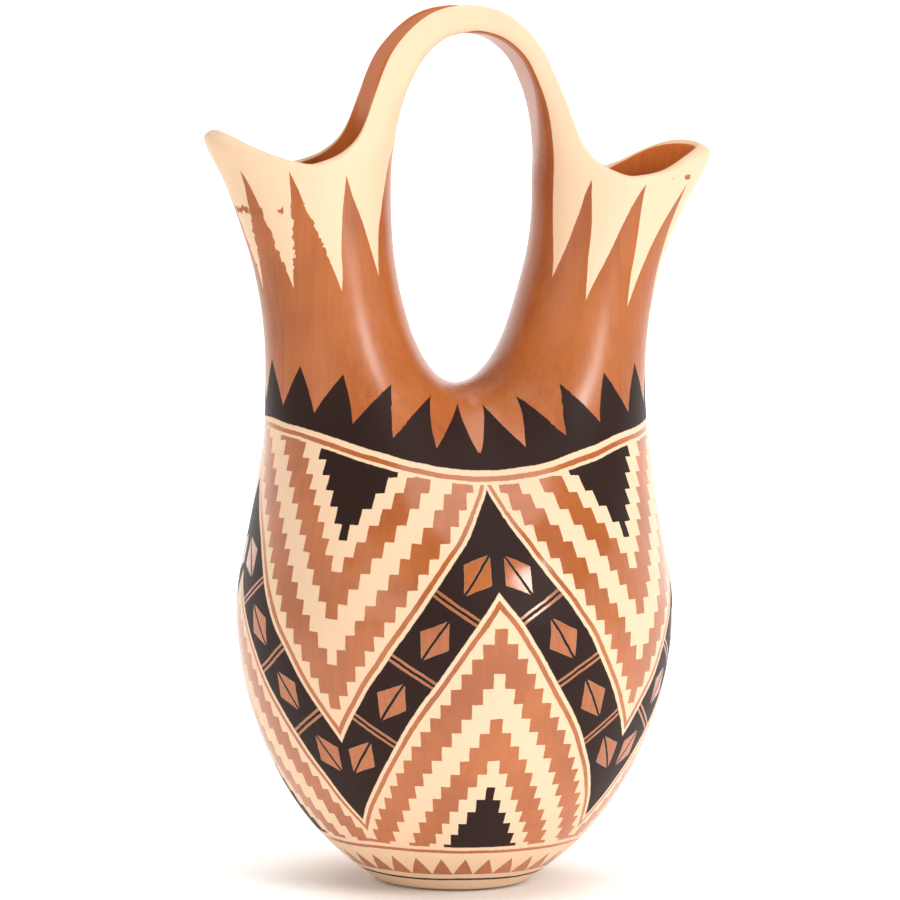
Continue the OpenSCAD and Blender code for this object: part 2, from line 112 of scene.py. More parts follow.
def grad(p, e=0.02):
    g = np.zeros_like(p)
    for i in range(3):
        d = np.zeros(3)
        d[i] = e
        g[:, i] = (field(p + d) - field(p - d))/(2*e)
    return g


def onto(p, flat=False, steps=8):
    p = np.array(p, float)
    for _ in range(steps):
        g = grad(p)
        if flat:
            g[:, 2] = 0
        p = p - g*np.clip(field(p)/np.maximum((g*g).sum(1), 1e-6), -4, 4)[:, None]
    return p


def thick(z):
    z = np.asarray(z, float)
    return np.where(z < 20, WALL + (BASE_T - WALL)*(1 - ease(z/20)), WALL + (LIP_WALL - WALL)*ease((z - 150)/100))


def strap_thick(q):
    return LIP_WALL + (STRAP_T - LIP_WALL)*ease(np.asarray(q)/3.4)


def arm_thick(q):
    return LIP_WALL + (1.4 - LIP_WALL)*ease(np.asarray(q)/4)


def uneven(p):
    """hand-built unevenness: the right spout is lower and slimmer, its mouth is highest at the back, the left arm of the strap is thicker"""
    x, y, z = p[:, 0], p[:, 1], p[:, 2]
    hold = (1 - ease((z - Z_DIP)/29)*(1 - ease((x - 48)/16)))*ease(x/20)
    round_ = np.degrees(np.arctan2(y/21.6, (x - 56)/30.4))
    rim = curve(RIM_R, round_)[:, 0]*ease((z - 226)/25)
    far, left, a = np.abs(x), ease(-x/6), curve(ARMS, z)
    w = ease((far - a[:, 0])/9 + 0.5)
    side = (1 - w)*(left*a[:, 1] + (1 - left)*a[:, 3]) + w*(left*a[:, 2] + (1 - left)*a[:, 4])
    side = side*(1 - ease((far - 44)/14))
    side = side - LEFT_SWELL*ease((z - 150)/30)*(1 - ease((z - 222)/30))*ease((-x - 40)/20)
    slim = -RIGHT_SLIM*(x - 54)*ease((z - 205)/35)*hold
    return np.stack([side + slim, np.zeros_like(x), hold*(rim - RIGHT_DROP*ease((z - 195)/56))], 1)


def corner(q):
    """corner sharpness of the gap side, against stations of the strap, which are 5 mm apart down the spout"""
    return 2 + 8*np.clip((np.asarray(q) + 2)/8.5, 0, 1)**3


# ------------------------------------------------------------------ outer skin of the right half, as grids
def grids():
    out = []
    psi = np.linspace(-math.pi/2, math.pi/2, NT + 1)
    # base and belly; each row carries the piece that starts at it
    body, owner = [], []
    for r in (0.0, 7.0, 14.0, 19.0):
        body.append([(r*math.cos(p), r*math.sin(p), 0.0) for p in psi])
        owner.append("base_disc")
    levels = [(z, "base_disc") for z in (0.7, 2.2, 4.5, 7.5, 11.5)]
    for k in range(5):
        levels += [(z, "body_coil_%d" % (k + 1)) for z in np.linspace(LOW_Z[k], LOW_Z[k + 1], 4)[:-1]]
    for z, o in levels:
        r = curve(BODY, z)[0][0]
        body.append([(r*math.cos(p), r*math.sin(p), z) for p in psi])
        owner.append(o)
    for k in range(2):
        zs = np.linspace(OVAL_Z[k], OVAL_Z[k + 1], 4)
        for z in (zs if k == 1 else zs[:-1]):
            q = curve(LOBE, z)[0]
            row = np.array([(q[1]*math.cos(p), q[2]*math.sin(p), z) for p in psi])
            row = onto(row, True)
            row[0, 0] = row[-1, 0] = 0
            body.append([tuple(x) for x in row])
            owner.append("body_coil_%d" % (k + 6))
    body = np.array(body)
    ang = np.degrees(psi)
    out.append(("body", body, owner, 180 - np.abs(ang)))
    # shoulder: from half the oval ring and the saddle up to the spout
    foot = body[-1]
    a0, b0 = foot[NT//2][0], foot[-1][1]
    q0, q1 = curve(LOBE, Z_RING)[0], curve(LOBE, Z_RING - 0.5)[0]
    da, db = (q0[1] - q1[1])/0.5, (q0[2] - q1[2])/0.5

    def saddle(v):
        s = 1 - np.abs(2*v - 1)
        sg = np.where(v < 0.5, 1.0, -1.0)

        def h(p, a, q, b):
            return (2*s**3 - 3*s**2 + 1)*p + (s**3 - 2*s**2 + s)*a + (3*s**2 - 2*s**3)*q + (s**3 - s**2)*b
        return np.stack([np.zeros_like(s), sg*h(b0, db*62, 0, -40), h(Z_RING, 62, Z_SADDLE, 0)], 1)
    sc = saddle(np.linspace(0, 1, NT + 1))
    sc[1:-1] = onto(sc[1:-1])
    sc[:, 0] = 0
    ring0 = np.concatenate([foot, sc[1:-1]], 0)
    n = len(ring0)
    T0 = np.zeros_like(ring0)
    for k in range(n):
        if k <= NT:
            p = psi[k]
            w = 0.25*math.pi*max(0.0, 1 - min(k, NT - k)/4)
            side = np.array([-a0*math.sin(p), b0*math.cos(p), 0.0])
            side = side/np.linalg.norm(side)*(-1 if p > 0 else 1)
            T0[k] = np.array([da*math.cos(p), db*math.sin(p), 1.0])*math.cos(w)*75 + side*math.sin(w)*40
        else:
            v = (k - NT)/NT
            up = (saddle(np.array([v + 1e-3])) - saddle(np.array([v - 1e-3])))[0]
            up = up/np.linalg.norm(up)*(-1 if v > 0.5 else 1)
            w = math.pi/2 - 0.25*math.pi*max(0.0, 1 - min(k - NT, n - k)/4)
            T0[k] = up*math.cos(w)*75 + np.array([1.0, 0, 0])*math.sin(w)*(40 - 10*(1 - abs(2*v - 1)))
    t = np.concatenate([psi, np.linspace(math.pi/2, 1.5*math.pi, NT + 1)[1:-1]])

    def ring(z):
        q = curve(LOBE, z)[0]
        return np.stack([(q[0] + q[1])/2 + (q[1] - q[0])/2*np.cos(t), q[2]*np.sin(t), np.full_like(t, z)], 1)
    ring1 = ring(Z_NECK)
    T1 = (ring(Z_NECK + 0.5) - ring1)/0.5*np.where(np.cos(t) > 0, 75, 75 - 41*np.abs(np.cos(t)))[:, None]
    s = np.linspace(0, 1, NL + 1)[:, None, None]
    loft = (2*s**3 - 3*s**2 + 1)*ring0 + (s**3 - 2*s**2 + s)*T0 + (3*s**2 - 2*s**3)*ring1 + (s**3 - s**2)*T1
    shape = loft[1:-1].shape
    loft[1:-1] = onto(loft[1:-1].reshape(-1, 3)).reshape(shape)
    loft = np.concatenate([loft, loft[:, :1]], 1)
    ta = np.abs(180 - np.degrees(t))
    ta = np.minimum(ta, 360 - ta)
    out.append(("shoulder", loft, ["shoulder_bridge"]*(NL + 1), np.append(ta, ta[0])))
    # spouts: outer half rises to the pouring tip, inner half stays level
    zs, owner = [], []
    for k in range(4):
        top = (NECK_Z + [Z_DIP])[k + 1]
        for z in np.linspace(NECK_Z[k], top, 4)[:-1]:
            zs.append(z)
            owner.append("neck_coil_%d" % (k + 1) if k < 3 else "lip")
    zs.append(Z_DIP)
    owner.append("lip")

    def spout(z, tt):
        q = curve(LOBE, z)
        co, si = np.cos(tt), np.sin(tt)
        co = np.where(np.abs(co) < 1e-9, 0, co)
        e = np.where(co < 0, 2/corner((z - Z_DIP)/5), 1.0)
        co, si = np.sign(co)*np.abs(co)**e, np.sign(si)*np.abs(si)**e
        return np.stack([(q[:, 0] + q[:, 1])/2 + (q[:, 1] - q[:, 0])/2*co, q[:, 2]*si, z], 1)
    rise = np.clip(np.cos(psi), 0, 1)**1.4*(TIP_RISE - LIP_WALL/2)
    rows = []
    for z in zs:
        f = max(0.0, (z - NECK_Z[3])/(Z_DIP - NECK_Z[3]))
        rows.append(spout(z + rise*f, psi))
    out.append(("spout", np.array(rows), owner, 180 - np.abs(ang)))
    ti = np.linspace(math.pi/2, 1.5*math.pi, NT + 1)
    out.append(("spout", np.array([spout(np.full_like(ti, z), ti) for z in zs]), owner, np.abs(180 - np.degrees(ti))))
    # strap: the wall round the gap side of the spout draws in to a flat strap
    Q = np.linspace(0, 11, 23)
    rows, inner, turn = [], [], []
    for q in Q:
        ax, az, ex, ez, ey, xe = curve(STRAP, q)[0]
        d = curve(STRAP, min(q + 0.1, 11))[0] - curve(STRAP, max(q - 0.1, 0))[0]
        m = unit(np.array([d[1], 0, -d[0]]))
        A, E = np.array([ax, 0, az]), np.array([ex, 0, ez])
        n_ = float(corner(q))
        end = math.acos(xe**(n_/2))
        tau = np.linspace(end, -end, NT + 1)
        co = np.cos(tau)
        X, Y = np.where(co < 1e-9, 0, np.abs(co))**(2/n_), np.sign(tau)*np.abs(np.sin(tau))**(2/n_)
        across = np.array([0, 1.0, 0])
        if q == 0:
            rows.append(spout(np.full_like(ti, Z_DIP), ti))
        else:
            rows.append(A + (E - A)*((1 - X)/(1 - xe))[:, None] + across*(ey*Y)[:, None])
        B = A + m*strap_thick(q)
        w = float(ease(q/4))
        Y = (1 - w)*Y + w*Y[0]*tau/end
        X = np.maximum(np.clip(1 - np.abs(Y)**n_, 0, 1)**(1/n_), xe)
        inner.append(B + (E - B)*((1 - X)/(1 - xe))[:, None] + across*((ey - arm_thick(q))*Y)[:, None])
        turn.append(np.abs(np.degrees(tau)))
    out.append(("strap", np.array(rows), ["handle_strap"]*len(rows), np.array(turn), np.array(inner), Q))
    return out


# length along the skin from the middle of the base up, against height
zz = np.linspace(0, 98, 400)
rr = curve(BODY, zz)[:, 0]
MER = np.concatenate([[0], np.cumsum(np.hypot(np.diff(zz), np.diff(rr)))])


def along(p):
    z = p[:, 2]
    r = np.hypot(p[:, 0], p[:, 1])
    return np.where(z < 1e-6, np.minimum(r, 21) - 21, np.interp(z, zz, MER) + np.maximum(z - 98, 0))


# share of a quarter turn along the upper border, so that its points keep an even width
fold = np.linspace(0, math.pi/2, 91)
b_lo, b_hi = np.full(91, 5.0), np.full(91, 90.0)
for _ in range(40):
    b_mid = (b_lo + b_hi)/2
    b_pts = np.stack([b_mid*np.cos(fold), b_mid*np.sin(fold), 156 + 16*np.cos(fold)**2], 1)
    b_in = field(b_pts) < 0
    b_lo, b_hi = np.where(b_in, b_mid, b_lo), np.where(b_in, b_hi, b_mid)
BORDER = np.concatenate([[0], np.cumsum(np.linalg.norm(np.diff(b_pts, axis=0), axis=1))])
BORDER /= BORDER[-1]


def border(p):
    return np.interp(np.arctan2(np.abs(p[:, 1]), np.abs(p[:, 0])), fold, BORDER)


# ------------------------------------------------------------------ closed cage: outer skin, inner skin, rim
def cage():
    verts, key, faces, owner, ta, tq, up = [], {}, [], [], [], [], {}

    def vid(p, a, q):
        k = tuple(round(float(c), 3) + 0.0 for c in p)
        if k not in key:
            key[k] = len(verts)
            verts.append([float(c) for c in p])
            ta.append(a)
            tq.append(q)
        return key[k]
    for side in (1, -1):
        who = "right_" if side > 0 else "left_"
        for g in grids():
            name, grid, own, ang = g[:4]
            R, C = grid.shape[:2]
            ids = np.zeros((R, C), int)
            ang = np.broadcast_to(ang, (R, C))
            for i in range(R):
                for j in range(C):
                    p = grid[i, j]*np.array([side, 1, 1])
                    q = g[5][i] if name == "strap" else min((p[2] - Z_DIP)/5, 0)
                    ids[i, j] = vid(p, ang[i, j], q)
                    if name == "strap" and i > 0:
                        up[ids[i, j]] = g[4][i, j]*np.array([side, 1, 1])
            for i in range(R - 1):
                for j in range(C - 1):
                    f = [ids[i, j], ids[i, j + 1], ids[i + 1, j + 1], ids[i + 1, j]]
                    f = f[::-1] if side < 0 else f
                    f = [x for k, x in enumerate(f) if x not in f[:k]]
                    if len(f) > 2:
                        faces.append(f)
                        owner.append(NODES.index(who + own[i] if name == "spout" else own[i]))
    V = np.array(verts)
    n = len(V)
    # normals of the outer skin
    N = np.zeros_like(V)
    for f in faces:
        p = V[f]
        a = np.cross(p, np.roll(p, -1, 0)).sum(0)
        N[f] += a/(np.linalg.norm(a) + 1e-12)
    N = unit(N)
    th = thick(V[:, 2])
    tq = np.array(tq)
    th = np.where(tq > 0, arm_thick(tq), th)
    th = th*(1 + 0.35*ease((np.abs(V[:, 0]) - 68)/20)*ease((V[:, 2] - 225)/22))
    I = V - N*th[:, None]
    for k, d in up.items():
        I[k] = d
    # inside of the base: flat floor easing into the wall
    low = V[:, 2] < 20
    r = np.hypot(V[:, 0], V[:, 1])
    s = V[:, 2]/20
    rin = np.maximum(r - np.where(V[:, 2] > 0, 1.5 + 3.0*s, 1.5*(r/19)**3), 0)
    k = np.where(r > 1e-6, rin/np.maximum(r, 1e-6), 0)
    I[low] = np.stack([V[:, 0]*k, V[:, 1]*k, V[:, 2] + 8.5 - 4.6*s], 1)[low]
    I[np.abs(V[:, 0]) < 1e-6, 0] = 0
    # rim
    edges = {}
    for fi, f in enumerate(faces):
        for a, b in zip(f, f[1:] + f[:1]):
            edges.setdefault((min(a, b), max(a, b)), []).append((a, b, fi))
    rim = [e[0] for e in edges.values() if len(e) == 1]
    on_rim = {x for a, b, _ in rim for x in (a, b)}
    near = {}
    for a, b in edges:
        near.setdefault(a, set()).add(b)
        near.setdefault(b, set()).add(a)
    nxt = {}
    for a, b, _ in rim:
        nxt.setdefault(a, []).append(b)
        nxt.setdefault(b, []).append(a)
    pts, sheet, loops = [*V, *I], [0.0]*n + [1.0]*n, {}
    TA, TQ = list(ta)*2, list(tq)*2
    for a in sorted(on_rim):
        ins = [x for x in near[a] if x not in on_rim]
        out = I[a] - V[a]
        away = V[a] - np.mean([V[x] for x in ins], 0)
        away = away - unit(out)*(away @ unit(out))
        along_ = unit(V[nxt[a][0]] - V[nxt[a][1]])
        away = unit(away - along_*(away @ along_))
        w = float(ease(tq[a]/4))
        for k, f in enumerate((0.22, 0.78)):
            loops[(a, k)] = len(pts)
            pts.append(V[a] + out*f + away*th[a]*((0.30 + 0.12*float(ease((abs(V[a][0]) - 68)/20)))*(1 - w) + 0.04*w))
            sheet.append((0.3, 0.7)[k])
            TA.append(ta[a])
            TQ.append(tq[a])
    F = list(faces) + [[x + n for x in f[::-1]] for f in faces]
    own = list(owner)*2
    for a, b, fi in rim:
        a0, a1, b0, b1 = loops[(a, 0)], loops[(a, 1)], loops[(b, 0)], loops[(b, 1)]
        F += [[b, a, a0, b0], [b0, a0, a1, b1], [b1, a1, a + n, b + n]]
        own += [owner[fi]]*3
    P = np.array(pts)
    P += uneven(P)
    MERI = along(P)
    MERI[n:2*n] = MERI[:n]
    joints = [e for e in edges.values() if len(e) == 2 and owner[e[0][2]] != owner[e[1][2]]]
    dips = sorted(a for a in on_rim if len({owner[fi] for x, y, fi in rim if a in (x, y)}) > 1)
    return P, F, own, np.array(sheet), np.array(TA), np.array(TQ), MERI, n, joints, dips, loops


P, F, OWN, SHEET, TA, TQ, MERI, NOUT, JOINTS, DIPS, LOOPS = cage()
cage_me = bpy.data.meshes.new("cage")
cage_me.from_pydata([tuple(p) for p in P*0.001], [], F)
cage_me.update()
for name, val in (("sheet", SHEET), ("ta", TA), ("tq", TQ), ("mer", MERI), ("bord", border(P))):
    cage_me.attributes.new(name, "FLOAT", "POINT").data.foreach_set("value", np.asarray(val, np.float32))
cage_me.polygons.foreach_set("material_index", np.array(OWN, np.int32))
cage_me.polygons.foreach_set("use_smooth", np.ones(len(F), bool))
cage_ob = bpy.data.objects.new("cage", cage_me)
scene.collection.objects.link(cage_ob)
mod = cage_ob.modifiers.new("smooth", "SUBSURF")
mod.levels = mod.render_levels = 2


def evaluated():
    bpy.context.view_layer.update()
    ev = cage_ob.evaluated_get(bpy.context.evaluated_depsgraph_get())
    me = ev.to_mesh()
    co = np.empty(len(me.vertices)*3, np.float32)
    me.vertices.foreach_get("co", co)
    return ev, me, co.reshape(-1, 3)


# move the cage until its smooth skin runs through the wanted points
goal = P*0.001
now = goal.copy()
hold = np.ones(len(P), bool)
hold[2*NOUT:] = False
for _ in range(3):
    ev, me, co = evaluated()
    now[hold] += (goal - co[:len(P)])[hold]*0.9
    ev.to_mesh_clear()
    cage_me.vertices.foreach_set("co", now.astype(np.float32).ravel())
    cage_me.update()
ev, me, CO = evaluated()
NV = len(me.vertices)
NRM = np.empty(NV*3, np.float32)
me.vertex_normals.foreach_get("vector", NRM)
NRM = NRM.reshape(-1, 3)
ATT = {}
for name in ("sheet", "ta", "tq", "mer", "bord"):
    buf = np.empty(NV, np.float32)
    me.attributes[name].data.foreach_get("value", buf)
    ATT[name] = buf
OWNER = np.empty(len(me.polygons), np.int32)
me.polygons.foreach_get("material_index", OWNER)
LV = np.empty(len(me.loops), np.int32)
me.loops.foreach_get("vertex_index", LV)
QUADS = LV.reshape(-1, 4)
ev.to_mesh_clear()
EDGE = {}
ncage = len(cage_me.vertices)
for e in cage_me.edges:
    a, b = e.vertices
    base = ncage + 3*e.index
    EDGE[(a, b)] = [base, base + 1, base + 2]
    EDGE[(b, a)] = [base + 2, base + 1, base]


def chain(a, b):
    """points of the smooth skin from cage point a to cage point b"""
    return [a] + EDGE[(a, b)] + [b]


worst = max(np.linalg.norm(CO[EDGE[(a, b)][0]] - CO[a]) - np.linalg.norm(CO[EDGE[(a, b)][2]] - CO[a]) for a, b in EDGE)
if worst > 1e-5:
    raise RuntimeError("edge points are not in order")


# ------------------------------------------------------------------ node helper: arithmetic as shader nodes
class Num:
    def __init__(self, g, socket):
        self.g, self.s = g, socket

    def __add__(self, o): return self.g.op("ADD", self, o)
    def __radd__(self, o): return self.g.op("ADD", o, self)
    def __sub__(self, o): return self.g.op("SUBTRACT", self, o)
    def __rsub__(self, o): return self.g.op("SUBTRACT", o, self)
    def __mul__(self, o): return self.g.op("MULTIPLY", self, o)
    def __rmul__(self, o): return self.g.op("MULTIPLY", o, self)
    def __truediv__(self, o): return self.g.op("DIVIDE", self, o)
    def __neg__(self): return self.g.op("MULTIPLY", self, -1.0)
    def abs(self): return self.g.op("ABSOLUTE", self)
    def fract(self): return self.g.op("FRACT", self)
    def floor(self): return self.g.op("FLOOR", self)
    def min(self, o): return self.g.op("MINIMUM", self, o)
    def max(self, o): return self.g.op("MAXIMUM", self, o)


class Graph:
    def __init__(self, name):
        self.mat = bpy.data.materials.new(name)
        self.mat.use_nodes = True
        self.nt = self.mat.node_tree
        self.bsdf = self.nt.nodes["Principled BSDF"]
        self.count = 0

    def node(self, kind):
        n = self.nt.nodes.new(kind)
        n.location = (-220*(self.count % 40) - 300, 180*(self.count//40))
        self.count += 1
        return n

    def put(self, socket, val):
        if isinstance(val, Num):
            self.nt.links.new(val.s, socket)
        elif isinstance(val, bpy.types.NodeSocket):
            self.nt.links.new(val, socket)
        elif isinstance(val, tuple):
            socket.default_value = val[:len(socket.default_value)]
        else:
            socket.default_value = val

    def op(self, name, *args):
        n = self.node("ShaderNodeMath")
        n.operation = name
        for s, v in zip(n.inputs, args):
            self.put(s, v)
        return Num(self, n.outputs[0])

    def step(self, x, lo, hi, smooth=True):
        """0 below lo, 1 above hi"""
        n = self.node("ShaderNodeMapRange")
        n.interpolation_type = "SMOOTHSTEP" if smooth else "LINEAR"
        n.clamp = True
        self.put(n.inputs["Value"], x)
        self.put(n.inputs["From Min"], lo)
        self.put(n.inputs["From Max"], hi)
        return Num(self, n.outputs["Result"])

    def over(self, x, at=0.0, soft=0.14):
        """1 where x is over a limit, with a soft edge in millimetres"""
        if isinstance(at, Num):
            x, at = x - at, 0.0
        return self.step(x, at - soft, at + soft)

    def band(self, x, lo, hi, soft=0.14):
        mid, half = (lo + hi)/2, (hi - lo)/2
        return self.step((x - mid).abs(), half + soft, half - soft)

    def tri(self, x):
        """0 at whole numbers, 1 half way between"""
        return 1.0 - (x.fract()*2.0 - 1.0).abs()

    def attr(self, name):
        n = self.node("ShaderNodeAttribute")
        n.attribute_name = name
        return Num(self, n.outputs["Fac"])

    def vec(self, x, y, z):
        n = self.node("ShaderNodeCombineXYZ")
        for s, v in zip(n.inputs, (x, y, z)):
            self.put(s, v)
        return n.outputs[0]

    def noise(self, vec, scale, detail=2.0, rough=0.5, colour=False):
        n = self.node("ShaderNodeTexNoise")
        n.inputs["Scale"].default_value = scale
        n.inputs["Detail"].default_value = detail
        n.inputs["Roughness"].default_value = rough
        self.nt.links.new(vec, n.inputs["Vector"])
        return n.outputs["Color"] if colour else Num(self, n.outputs["Fac"])

    def mix(self, fac, a, b):
        n = self.node("ShaderNodeMix")
        n.data_type = "RGBA"
        self.put(n.inputs[0], fac)
        self.put(n.inputs[6], a)
        self.put(n.inputs[7], b)
        return n.outputs[2]

    def lerp(self, fac, a, b):
        n = self.node("ShaderNodeMix")
        self.put(n.inputs[0], fac)
        self.put(n.inputs[2], a)
        self.put(n.inputs[3], b)
        return Num(self, n.outputs[0])

    def shade(self, colour, val):
        """colour times a number"""
        n = self.node("ShaderNodeVectorMath")
        n.operation = "SCALE"
        self.put(n.inputs[0], colour)
        self.put(n.inputs["Scale"], val)
        return n.outputs[0]

    def bump(self, height, distance, strength=1.0, normal=None):
        n = self.node("ShaderNodeBump")
        n.inputs["Distance"].default_value = distance
        n.inputs["Strength"].default_value = strength
        self.put(n.inputs["Height"], height)
        if normal is not None:
            self.nt.links.new(normal, n.inputs["Normal"])
        return n.outputs[0]


def srgb(r, g, b):
    return tuple((c/255/12.92 if c <= 10 else ((c/255 + 0.055)/1.055)**2.4) for c in (r, g, b)) + (1.0,)


CREAM = srgb(236, 201, 167)
RUST = srgb(165, 87, 40)
RUST_HI = srgb(184, 103, 48)
BLACK = srgb(42, 23, 18)
BARE = srgb(158, 84, 50)


def painted_clay():
    g = Graph("painted_clay")
    tc = g.node("ShaderNodeTexCoord").outputs["Object"]
    mm = g.node("ShaderNodeVectorMath")
    mm.operation = "SCALE"
    g.put(mm.inputs[0], tc)
    mm.inputs["Scale"].default_value = 1000.0
    mm = mm.outputs[0]

    # hand-drawn edges: everything is drawn on a slightly wandering position
    wob = g.node("ShaderNodeVectorMath")
    wob.operation = "MULTIPLY_ADD"
    g.put(wob.inputs[0], g.noise(mm, 0.045, 1.0, 0.5, True))
    wob.inputs[1].default_value = (2.2, 2.2, 2.2)
    wob.inputs[2].default_value = (-1.1, -1.1, -1.1)
    wob2 = g.node("ShaderNodeVectorMath")
    wob2.operation = "MULTIPLY_ADD"
    g.put(wob2.inputs[0], g.noise(mm, 0.45, 2.0, 0.6, True))
    wob2.inputs[1].default_value = (0.5, 0.5, 0.5)
    g.put(wob2.inputs[2], wob.outputs[0])
    sep = g.node("ShaderNodeSeparateXYZ")
    g.put(sep.inputs[0], wob2.outputs[0])
    jx, jz = Num(g, sep.outputs[0]), Num(g, sep.outputs[2])
    pos = g.node("ShaderNodeSeparateXYZ")
    g.put(pos.inputs[0], mm)
    x, y, z0 = (Num(g, s) for s in pos.outputs)
    z = z0 + jz
    sheet, ta0, tq, mer, bord = (g.attr(a) for a in ("sheet", "ta", "tq", "mer", "bord"))
    v = mer + jz
    phi = g.op("ARCTAN2", y, x)
    r2 = x*x + y*y
    ang = phi + jx/72.0

    # broad zigzag round the belly, four repeats, with lozenges and twin cross lines
    cell = ang*(4/(2*math.pi))
    period = 2*math.pi*72/4
    f = cell.fract()
    s_val = (f - 0.5).abs()*period
    s_peak = period/2 - s_val
    low, high = 58.0, 144.0
    k = (high - low)/(period/2)
    ca = 1/math.hypot(1, k)
    leg = period/2/ca
    d = (v - low - s_val*k)*ca
    ad = d.abs()
    run = (s_val*ca + (v - low)*(k*ca))*(4/leg)
    off = ((run.fract() - 0.5)*(leg/4)).abs()
    on_leg = g.over(run, 0.12, 0.01)*g.over(3.88 - run, 0.0, 0.01)
    lozenge = g.over((1.0 - off/8.2 - ad/5.6)*4.0)*g.over(ad, 0.5)*on_leg
    cross = g.band(leg/8 - off, 0.55, 1.35)*on_leg*g.over(run, 0.6, 0.01)*g.over(3.4 - run, 0.0, 0.01)
    in_band = g.over(8.8 - ad)
    band_line = g.band(ad, 10.2, 11.9)

    # nested stepped triangles: hanging in the valleys, standing under the peaks
    rise = 5.2
    e_up = ((v - (low + 15.5/ca))/rise).floor()*(rise/k) + 2.0 - s_val
    e_lo = (((high - 15.5/ca) - v)/rise).floor()*(rise/k) + 2.0 - s_peak
    on_up = g.over(d, 12.0)
    on_lo = g.over(-d, 12.0)
    rust_f = on_up*(g.band(e_up, 0.0, 10.4) + g.band(e_up, 20.2, 30.6))
    rust_f = rust_f + on_lo*(g.band(e_lo, 0.0, 10.4) + g.band(e_lo, 20.2, 30.6))
    black_f = on_up*g.over(e_up, 37.9) + on_lo*g.over(e_lo, 37.9)

    # upper border: twin lines and a row of black points on the rust shoulder
    z_top = 150.0 + 16.0*(x*x/(r2 + 1.0))
    w = z - z_top + 30.0*g.step(y.abs(), 20.0, 12.0)*g.step(x.abs(), 42.0, 34.0)
    tooth = g.tri((bord + jx*0.006)*6.0)
    above = g.over(w, 0.0)
    top_black = g.over(w, -2.4)*g.over(3.2 + 15.0*tooth - w)
    top_line = g.band(w, -5.8, -4.2)
    field_on = g.over(-6.8 - w)*g.over(v, 31.0)

    # foot: rust ring, thin black line, a row of small points
    foot_t = g.tri(ang*(32/(2*math.pi)))
    foot_rust = g.over(v, 14.0)*g.over(14.0 + 10.0*foot_t - v) + g.band(v, 27.6, 29.2)
    foot_black = g.band(v, 9.8, 11.2)

    band_rust = in_band*(lozenge + cross).min(1.0)
    body_rust = (field_on*(band_rust + band_line + rust_f) + top_line + foot_rust).min(1.0).max(above)
    body_black = (field_on*((in_band - band_rust).max(0.0) + black_f) + top_black + foot_black).min(1.0)

    # spouts: pointed rays between the cream rim and the rust neck; the side facing the gap stays rust
    ta = ta0 + jx*1.6
    ragged = g.noise(mm, 0.42, 4.0, 0.65)
    left_front = g.over(-x, 50.0, 4.0)*g.over(-y, 2.0, 2.0)
    worn = left_front*g.band(z0, 214.0, 238.0, 1.5)*g.over(g.noise(mm, 0.06, 1.0), 0.45, 0.02)
    on_right = g.over(x, 0.0, 4.0)
    turn = ((ta - 52.0 + 11.0*on_right + worn*(ragged - 0.5)*11.0)/38.0).max(0.0).fract()
    lean = 0.44 + 0.18*on_right
    ray = (turn/lean).min((1.0 - turn)/(1.0 - lean))
    zb = 203.0 - 3.0*on_right + 41.0*ray + g.noise(g.vec(ta0*0.03, tq*0.0, 0.0), 3.0, 0.0)*8.0
    gap_side = 33.5 + 14.0*g.step(z0, 238.0, 204.0) + on_right*(2.5*g.step(tq, 0.0, 5.0) - 8.0*g.step(tq, 7.0, 10.0))
    gap_side = gap_side + (1.0 - on_right)*(9.0*g.step(z0, 246.0, 226.0) - 22.0*g.step(tq, -2.5, 4.5))
    neck_cream = g.over(z, zb, 0.25)*g.over(ta, gap_side, 0.5)*g.over(z, 195.0)
    rim_cream = g.over(sheet, 0.03, 0.02)*(1.0 - g.over(sheet, 0.5, 0.06)*g.over(tq, 1.2, 0.5))
    cream_top = neck_cream.max(rim_cream)
    inside = g.over(sheet, 0.95, 0.02)

    # flaked slip: short ragged marks in a line on the left spout, two nicks under the right rim
    marks = g.over(g.noise(g.vec(x*0.11, y*0.02, 3.0), 1.0, 1.0) + (ragged - 0.5)*0.12, 0.52, 0.004)
    flake = g.band(z0 + (ragged - 0.5)*6.0, 233.4, 235.4, 0.25)*left_front*marks

    crumb = g.noise(mm, 1.3, 3.0, 0.6)

    def nick(px, pz, rx, rz):
        a, b = (x - px)/rx, (z0 - pz)/rz
        return g.over(1.0 - (a*a + b*b) + (crumb - 0.5)*5.0, 0.0, 0.1)*g.over(-y, 0.0, 1.0)
    nicks = nick(77.6, 246.6, 1.3, 0.9).max(nick(71.4, 246.2, 0.5, 0.3)*0.6)
    chip = (flake + nicks).min(1.0)*(1.0 - inside)

    rust = (body_rust*(1.0 - cream_top)).max(inside).max(chip)
    black = body_black*(1.0 - cream_top)*(1.0 - inside)*(1.0 - chip)

